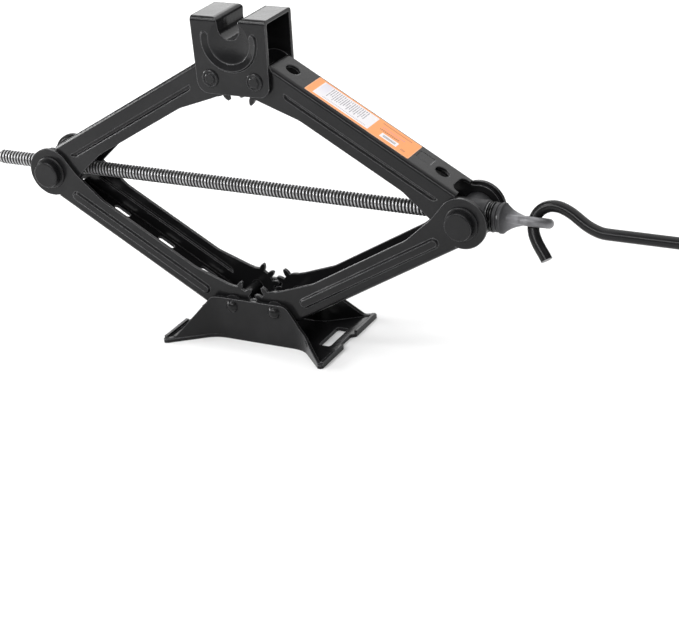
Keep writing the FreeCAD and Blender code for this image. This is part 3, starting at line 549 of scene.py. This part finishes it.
def thread_tree():
    """A helical strip whose two edges meet a turn apart, so that it closes into a threaded bar."""
    tree = Tree("screw_thread", {
        "Start": ("NodeSocketFloat", SCREW_LOW.x),
        "End": ("NodeSocketFloat", THREAD_END),
        "Axis height": ("NodeSocketFloat", SCREW_AXIS_Z),
        "Radius": ("NodeSocketFloat", SCREW_RADIUS),
        "Shank radius": ("NodeSocketFloat", SHANK_RADIUS),
        "Pitch": ("NodeSocketFloat", 0.003),
        "Depth": ("NodeSocketFloat", 0.00135),
        "Chamfer": ("NodeSocketFloat", 0.0015),
        "Segments": ("NodeSocketInt", 36),
        "Columns": ("NodeSocketInt", 11),
        "Material": ("NodeSocketMaterial", None),
    })
    maths = tree.maths
    start, end, pitch = tree.given("Start"), tree.given("End"), tree.given("Pitch")
    turns = maths("ADD", maths("CEIL", maths("DIVIDE", maths("SUBTRACT", end, start), pitch)), 1.0)
    steps = maths("ADD", maths("MULTIPLY", turns, tree.given("Segments")), 1.0)
    strip = tree.node("GeometryNodeMeshGrid", None, {
        "Size X": 1.0, "Size Y": 1.0, "Vertices X": steps, "Vertices Y": tree.given("Columns"),
    })

    # Along the strip's length it turns, and across its width it goes on by one pitch.
    place = tree.node("GeometryNodeInputPosition")
    split = tree.node("ShaderNodeSeparateXYZ", None, {0: place}).node.outputs
    turn = maths("MULTIPLY", maths("ADD", split[0], 0.5), turns)
    column = maths("ADD", split[1], 0.5)
    station = maths("MULTIPLY_ADD", maths("SUBTRACT", maths("ADD", turn, column), 1.0), pitch, start)
    station = maths("MINIMUM", maths("MAXIMUM", station, start), end)
    off_crest = maths("ABSOLUTE", maths("SUBTRACT", column, 0.5))
    rise = tree.ramp(off_crest, THREAD_ROOT, THREAD_CREST)

    # The radius is that of the flank, less where the tip is chamfered and where the thread runs out.
    outer = tree.given("Radius")
    flank = maths("MULTIPLY_ADD", rise, tree.given("Depth"), maths("SUBTRACT", outer, tree.given("Depth")))
    tip = maths("ADD", maths("SUBTRACT", outer, tree.given("Chamfer")), maths("SUBTRACT", station, start))
    to_end, shank = maths("SUBTRACT", end, station), tree.given("Shank radius")
    runout = tree.ramp(to_end, 0.0, RUNOUT_LENGTH, soft=False, to_low=shank, to_high=outer)
    filled = tree.ramp(to_end, 0.0, RUNOUT_FILL, soft=False, to_low=shank, to_high=0.0)
    radius = maths("MAXIMUM", maths("MINIMUM", maths("MINIMUM", flank, tip), runout), filled)

    angle = maths("MULTIPLY", turn, 2 * math.pi)
    point = tree.node("ShaderNodeCombineXYZ", None, {
        "X": station,
        "Y": maths("MULTIPLY", radius, maths("COSINE", angle)),
        "Z": maths("ADD", maths("MULTIPLY", radius, maths("SINE", angle)), tree.given("Axis height")),
    })
    wound = tree.node("GeometryNodeSetPosition", None, {"Geometry": strip, "Position": point})
    whole = tree.node("GeometryNodeJoinGeometry", None, {"Geometry": [wound, tree.given("Geometry")]})
    joined = tree.node("GeometryNodeMergeByDistance", None, {"Geometry": whole, "Distance": THREAD_MERGE})
    return tree.finish(joined)


def grip_tree():
    """A sleeve whose wall is fluted between two plain collars."""
    tree = Tree("grip_ribs", {
        "Centre": ("NodeSocketVector", tuple(GRIP_CENTRE)),
        "Collar": ("NodeSocketFloat", 0.0035),
        "Half length": ("NodeSocketFloat", (GRIP_HIGH.x - GRIP_LOW.x) / 2),
        "Radius": ("NodeSocketFloat", GRIP_RADIUS),
        "Ribs": ("NodeSocketInt", 20),
        "Rib depth": ("NodeSocketFloat", 0.0011),
        "Material": ("NodeSocketMaterial", None),
    })
    maths = tree.maths
    place = tree.node("GeometryNodeInputPosition")
    offset = tree.node("ShaderNodeVectorMath", {"operation": "SUBTRACT"}, {0: place, 1: tree.given("Centre")})
    split = tree.node("ShaderNodeSeparateXYZ", None, {0: offset}).node.outputs
    angle = maths("ARCTAN2", split[2], split[1])
    radius = maths("SQRT", maths("ADD", maths("MULTIPLY", split[1], split[1]),
                                 maths("MULTIPLY", split[2], split[2])))
    wave = maths("MULTIPLY_ADD", maths("COSINE", maths("MULTIPLY", angle, tree.given("Ribs"))), -0.5, 0.5)
    flute = maths("POWER", wave, FLUTE_SHARPNESS)
    collar_at = maths("SUBTRACT", tree.given("Half length"), tree.given("Collar"))
    along = tree.ramp(maths("ABSOLUTE", split[0]), collar_at, maths("SUBTRACT", collar_at, FLUTE_RUNOUT))
    outside = maths("GREATER_THAN", radius, maths("MULTIPLY", tree.given("Radius"), SLEEVE_SKIN))
    cut = maths("MULTIPLY", maths("MULTIPLY", flute, along), outside)
    depth = maths("MULTIPLY", cut, tree.given("Rib depth"))
    keep = maths("DIVIDE", maths("SUBTRACT", radius, depth), maths("MAXIMUM", radius, SMALLEST_RADIUS))
    moved = tree.node("ShaderNodeCombineXYZ", None, {
        "X": split[0],
        "Y": maths("MULTIPLY", split[1], keep),
        "Z": maths("MULTIPLY", split[2], keep),
    })
    back = tree.node("ShaderNodeVectorMath", {"operation": "ADD"}, {0: moved, 1: tree.given("Centre")})
    return tree.finish(tree.node("GeometryNodeSetPosition", None,
                                 {"Geometry": tree.given("Geometry"), "Position": back}))


def turned(name, profile, centre, segments):
    """A turned shape about an axis along X, from (station, radius) points; a radius of 0 closes it."""
    points, faces, rings = [], [], []
    for station, radius in profile:
        if radius <= 0:
            rings.append([len(points)])
            points.append((station, centre[0], centre[1]))
            continue
        rings.append(list(range(len(points), len(points) + segments)))
        for i in range(segments):
            angle = 2 * math.pi * i / segments
            points.append((station, centre[0] + radius * math.cos(angle),
                           centre[1] + radius * math.sin(angle)))
    for near, far in zip(rings, rings[1:]):
        for i in range(segments):
            j = (i + 1) % segments
            if len(near) == 1:
                faces.append((near[0], far[j], far[i]))
            elif len(far) == 1:
                faces.append((near[i], near[j], far[0]))
            else:
                faces.append((near[i], near[j], far[j], far[i]))
    mesh = bpy.data.meshes.new(name)
    mesh.from_pydata(points, [], faces)
    return mesh


def merged(name, meshes):
    """One mesh of several, with points that meet joined and faces turned outwards."""
    work = bmesh.new()
    for mesh in meshes:
        work.from_mesh(mesh)
    bmesh.ops.remove_doubles(work, verts=work.verts, dist=MESH_MERGE)
    bmesh.ops.recalc_face_normals(work, faces=work.faces)
    result = bpy.data.meshes.new(name)
    work.to_mesh(result)
    work.free()
    return result


def grown(name, mesh, group, values):
    """The plain mesh that a Geometry Nodes tree makes of a mesh."""
    piece = bpy.data.objects.new(name, mesh)
    bpy.context.scene.collection.objects.link(piece)
    modifier = piece.modifiers.new(group.name, "NODES")
    modifier.node_group = group
    named = {item.name: item.identifier for item in group.interface.items_tree if item.in_out == "INPUT"}
    for title, value in values.items():
        modifier[named[title]] = value
    bpy.context.view_layer.update()
    shown = piece.evaluated_get(bpy.context.evaluated_depsgraph_get())
    made = bpy.data.meshes.new_from_object(shown)
    piece.modifiers.clear()
    piece.data = made
    made.name = name
    return piece


# ---- one operator for each piece or group of like pieces -------------------------------------
class JACK_OT_pressings(bpy.types.Operator):
    """Paints the base, the four arms and the saddle"""
    bl_idname = "jack.pressings"
    bl_label = "Base, arms and saddle"

    def execute(self, context):
        colours = context.scene.jack_colours
        paint = black_paint("paint_pressed", colours, ripple=0.5, wear=0.35, roughness=0.18, edge=0.0013)
        dress(["base_plate", "lower_arm_right", "lower_arm_left", "upper_arm_right", "upper_arm_left"],
              paint)
        cap = black_paint("paint_saddle", colours, ripple=0.5, wear=0.6, roughness=0.14, edge=0.0011)
        dress(["saddle"], cap)
        return {"FINISHED"}


class JACK_OT_rivets(bpy.types.Operator):
    """Paints the pivot pins and their washers"""
    bl_idname = "jack.rivets"
    bl_label = "Pins and washers"

    def execute(self, context):
        colours = context.scene.jack_colours
        paint = black_paint("paint_rivet", colours, ripple=0.25, wear=0.5, roughness=0.22, edge=0.0006)
        dress(["base_pins", "saddle_pins", "nut_trunnion_caps", "bearing_trunnion_caps"],
              paint)
        washer = black_paint("paint_washer", colours, ripple=0.2, wear=0.6, roughness=0.32, edge=0.0003)
        dress(["base_pin_washers", "saddle_pin_washers", "nut_trunnion_washers",
               "bearing_trunnion_washers"], washer)
        return {"FINISHED"}


class JACK_OT_trunnions(bpy.types.Operator):
    """Finishes the nut and bearing blocks and the thrust bearing"""
    bl_idname = "jack.trunnions"
    bl_label = "Trunnions and thrust bearing"

    def execute(self, context):
        colours = context.scene.jack_colours
        dress(["nut_trunnion", "bearing_trunnion"], forged_steel("forged_block", colours))
        # The turning race, the balls and the cage get darker copies of the race's steel: painted shade
        # between the races.
        for nodes, name, painted_brightness in ((["thrust_race_fixed"], "ground_race", 0.85),
                                   (["thrust_race_turning"], "shaded_turning_race", 0.30),
                                   (["thrust_balls", "thrust_ball_cage"], "shaded_balls_and_cage", 0.16)):
            dress(nodes, bright_steel(name, colours, SCREW_AXIS, painted_brightness))
        return {"FINISHED"}


class JACK_OT_screw(bpy.types.Operator):
    """Makes the threaded lead screw and finishes its eye and lock pin"""
    bl_idname = "jack.screw"
    bl_label = "Lead screw and eye"

    def execute(self, context):
        colours, sizes = context.scene.jack_colours, context.scene.jack_sizes
        tip = turned("lead_screw_tip", [
            (SCREW_LOW.x, 0.0), (SCREW_LOW.x, SCREW_RADIUS - sizes.tip_chamfer),
        ], SCREW_AXIS[1:], sizes.thread_segments)
        shank = turned("lead_screw_shank", [
            (THREAD_END, SHANK_RADIUS), (SCREW_HIGH.x - SHANK_CHAMFER, SHANK_RADIUS),
            (SCREW_HIGH.x, SHANK_RADIUS - SHANK_CHAMFER), (SCREW_HIGH.x, 0.0),
        ], SCREW_AXIS[1:], sizes.thread_segments)
        plain = merged("lead_screw_plain", [tip, shank])
        screw = grown("lead_screw_thread", plain, thread_tree(), {
            "Pitch": sizes.thread_pitch,
            "Depth": sizes.thread_depth,
            "Chamfer": sizes.tip_chamfer,
            "Segments": sizes.thread_segments,
            "Material": screw_steel(colours, sizes),
        })
        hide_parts("lead_screw")
        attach(screw, "screw")
        eye = forged_steel("forged_eye", colours, 0.95, EYE_END - RUBBED_REACH)
        dress(["screw_eye"], eye)
        dress(["eye_lock_pin"], bright_steel("spring_pin", colours, SCREW_AXIS))
        return {"FINISHED"}


class JACK_OT_handle(bpy.types.Operator):
    """Paints the hook rod, the crank arm and the washers on them"""
    bl_idname = "jack.handle"
    bl_label = "Handle"

    def execute(self, context):
        colours = context.scene.jack_colours
        rod = black_paint("paint_rod", colours, ripple=0.25, wear=0.5, roughness=0.22, edge=0.0005)
        dress(["hook_rod", "crank_arm", "crank_spigot_washer", "grip_stops"], rod)
        return {"FINISHED"}


class JACK_OT_grip(bpy.types.Operator):
    """Makes the ribbed grip that turns on the crank's spindle"""
    bl_idname = "jack.grip"
    bl_label = "Grip sleeve"

    def execute(self, context):
        colours, sizes = context.scene.jack_colours, context.scene.jack_sizes
        bore = min(math.hypot(v.co.y - GRIP_CENTRE.y, v.co.z - GRIP_CENTRE.z)
                   for v in NODES["grip_sleeve"].data.vertices)
        low, high = GRIP_LOW.x, GRIP_HIGH.x
        stations = [sizes.grip_collar + step for step in GRIP_STEPS]
        middle = [low + s for s in stations] + [high - s for s in reversed(stations)]
        bevel, ease = GRIP_RADIUS - GRIP_BEVEL, GRIP_RADIUS - GRIP_EASE
        profile = [(low, bore), (low, bevel), (low + GRIP_EASE, ease), (low + GRIP_BEVEL, GRIP_RADIUS)]
        profile += [(station, GRIP_RADIUS) for station in middle]
        profile += [(high - GRIP_BEVEL, GRIP_RADIUS), (high - GRIP_EASE, ease), (high, bevel),
                    (high, bore), (low, bore)]
        sleeve = turned("grip_plain", profile, GRIP_CENTRE[1:], sizes.grip_ribs * FACES_PER_RIB)
        grip = grown("grip_sleeve_ribbed", merged("grip_closed", [sleeve]), grip_tree(), {
            "Collar": sizes.grip_collar,
            "Ribs": sizes.grip_ribs,
            "Rib depth": sizes.grip_rib_depth,
            "Material": grip_plastic(colours),
        })
        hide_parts("grip_sleeve")
        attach(grip, "grip")
        return {"FINISHED"}


class JACK_OT_label(bpy.types.Operator):
    """Prints the rating label with plain bars"""
    bl_idname = "jack.label"
    bl_label = "Rating label"

    def execute(self, context):
        dress(["rating_label"], label_film(context.scene.jack_colours))
        return {"FINISHED"}


def lay_floor(scene):
    """Lays a pale floor, wide enough for every view."""
    half = FLOOR_HALF
    mesh = bpy.data.meshes.new("studio_floor")
    mesh.from_pydata([(-half, -half, 0), (half, -half, 0), (half, half, 0), (-half, half, 0)], [],
                     [(0, 1, 2, 3)])
    mesh.materials.append(studio_floor(scene.jack_colours))
    floor = bpy.data.objects.new("studio_floor", mesh)
    scene.collection.objects.link(floor)


def hang_lights(scene, stage):
    """Lights the surround, hangs soft boxes that face the screw, and a broad light above."""
    world = bpy.data.worlds.new("studio_surround")
    world.use_nodes = True
    surround = world.node_tree.nodes["Background"]
    surround.inputs["Color"].default_value = (1.0, 1.0, 1.0, 1.0)
    surround.inputs["Strength"].default_value = stage.surround
    scene.world = world

    for name, place, size, watts in LAMPS:
        light = bpy.data.lights.new("softbox_" + name, "AREA")
        light.shape = "RECTANGLE"
        light.size, light.size_y = size
        light.energy = watts
        lamp = bpy.data.objects.new("softbox_" + name, light)
        lamp.location = place
        lamp.rotation_euler = (Vector(SCREW_AXIS) - Vector(place)).to_track_quat("-Z", "Y").to_euler()
        scene.collection.objects.link(lamp)

    overhead = bpy.data.lights.new("softbox_overhead", "SUN")
    overhead.energy = stage.overhead
    overhead.angle = OVERHEAD_SPREAD
    ceiling = bpy.data.objects.new("softbox_overhead", overhead)
    ceiling.rotation_euler = Vector(OVERHEAD_FROM).to_track_quat("Z", "Y").to_euler()
    scene.collection.objects.link(ceiling)


def set_camera(scene, stage):
    """Stands the camera on its line of sight, rolled about it."""
    flat = math.cos(stage.elevation)
    sight = Vector((math.sin(stage.azimuth) * flat, -math.cos(stage.azimuth) * flat,
                    math.sin(stage.elevation)))
    forward = -sight
    level = forward.cross(Vector((0, 0, 1))).normalized()
    upright = level.cross(forward)
    right = level * math.cos(stage.roll) + upright * math.sin(stage.roll)
    up = right.cross(forward)
    lens = bpy.data.cameras.new("studio_camera")
    lens.sensor_width = 36.0
    lens.lens = stage.focal
    camera = bpy.data.objects.new("studio_camera", lens)
    target = Vector((stage.target_x, 0.0, stage.target_z))
    turn = Matrix((right, up, -forward)).transposed().to_4x4()
    camera.matrix_world = Matrix.Translation(target + sight * stage.distance) @ turn
    scene.collection.objects.link(camera)
    scene.camera = camera


class JACK_OT_stage(bpy.types.Operator):
    """Sets the pale floor, the soft studio light and the camera"""
    bl_idname = "jack.stage"
    bl_label = "Floor, light and camera"

    def execute(self, context):
        scene, stage = context.scene, context.scene.jack_stage
        lay_floor(scene)
        hang_lights(scene, stage)
        scene.view_settings.view_transform = "Standard"
        set_camera(scene, stage)
        return {"FINISHED"}


class JACK_PT_panel(bpy.types.Panel):
    """Lists the jack's pieces"""
    bl_idname = "JACK_PT_panel"
    bl_label = "Scissor jack"
    bl_space_type = "VIEW_3D"
    bl_region_type = "UI"
    bl_category = "Jack"

    def draw(self, context):
        for operator in OPERATORS:
            self.layout.operator(operator.bl_idname)
        for group in (context.scene.jack_sizes, context.scene.jack_colours, context.scene.jack_stage):
            box = self.layout.box()
            for name in group.__annotations__:
                box.prop(group, name)


OPERATORS = [JACK_OT_pressings, JACK_OT_rivets, JACK_OT_trunnions, JACK_OT_screw, JACK_OT_handle,
             JACK_OT_grip, JACK_OT_label, JACK_OT_stage]
CLASSES = [JackSizes, JackColours, JackStage] + OPERATORS + [JACK_PT_panel]


def register():
    for each in CLASSES:
        bpy.utils.register_class(each)
    bpy.types.Scene.jack_sizes = bpy.props.PointerProperty(type=JackSizes)
    bpy.types.Scene.jack_colours = bpy.props.PointerProperty(type=JackColours)
    bpy.types.Scene.jack_stage = bpy.props.PointerProperty(type=JackStage)


def unregister():
    del bpy.types.Scene.jack_stage
    del bpy.types.Scene.jack_colours
    del bpy.types.Scene.jack_sizes
    for each in reversed(CLASSES):
        bpy.utils.unregister_class(each)


def main():
    register()
    bpy.ops.jack.pressings()
    bpy.ops.jack.rivets()
    bpy.ops.jack.trunnions()
    bpy.ops.jack.screw()
    bpy.ops.jack.handle()
    bpy.ops.jack.grip()
    bpy.ops.jack.label()
    bpy.ops.jack.stage()


if __name__ == "__main__":
    main()
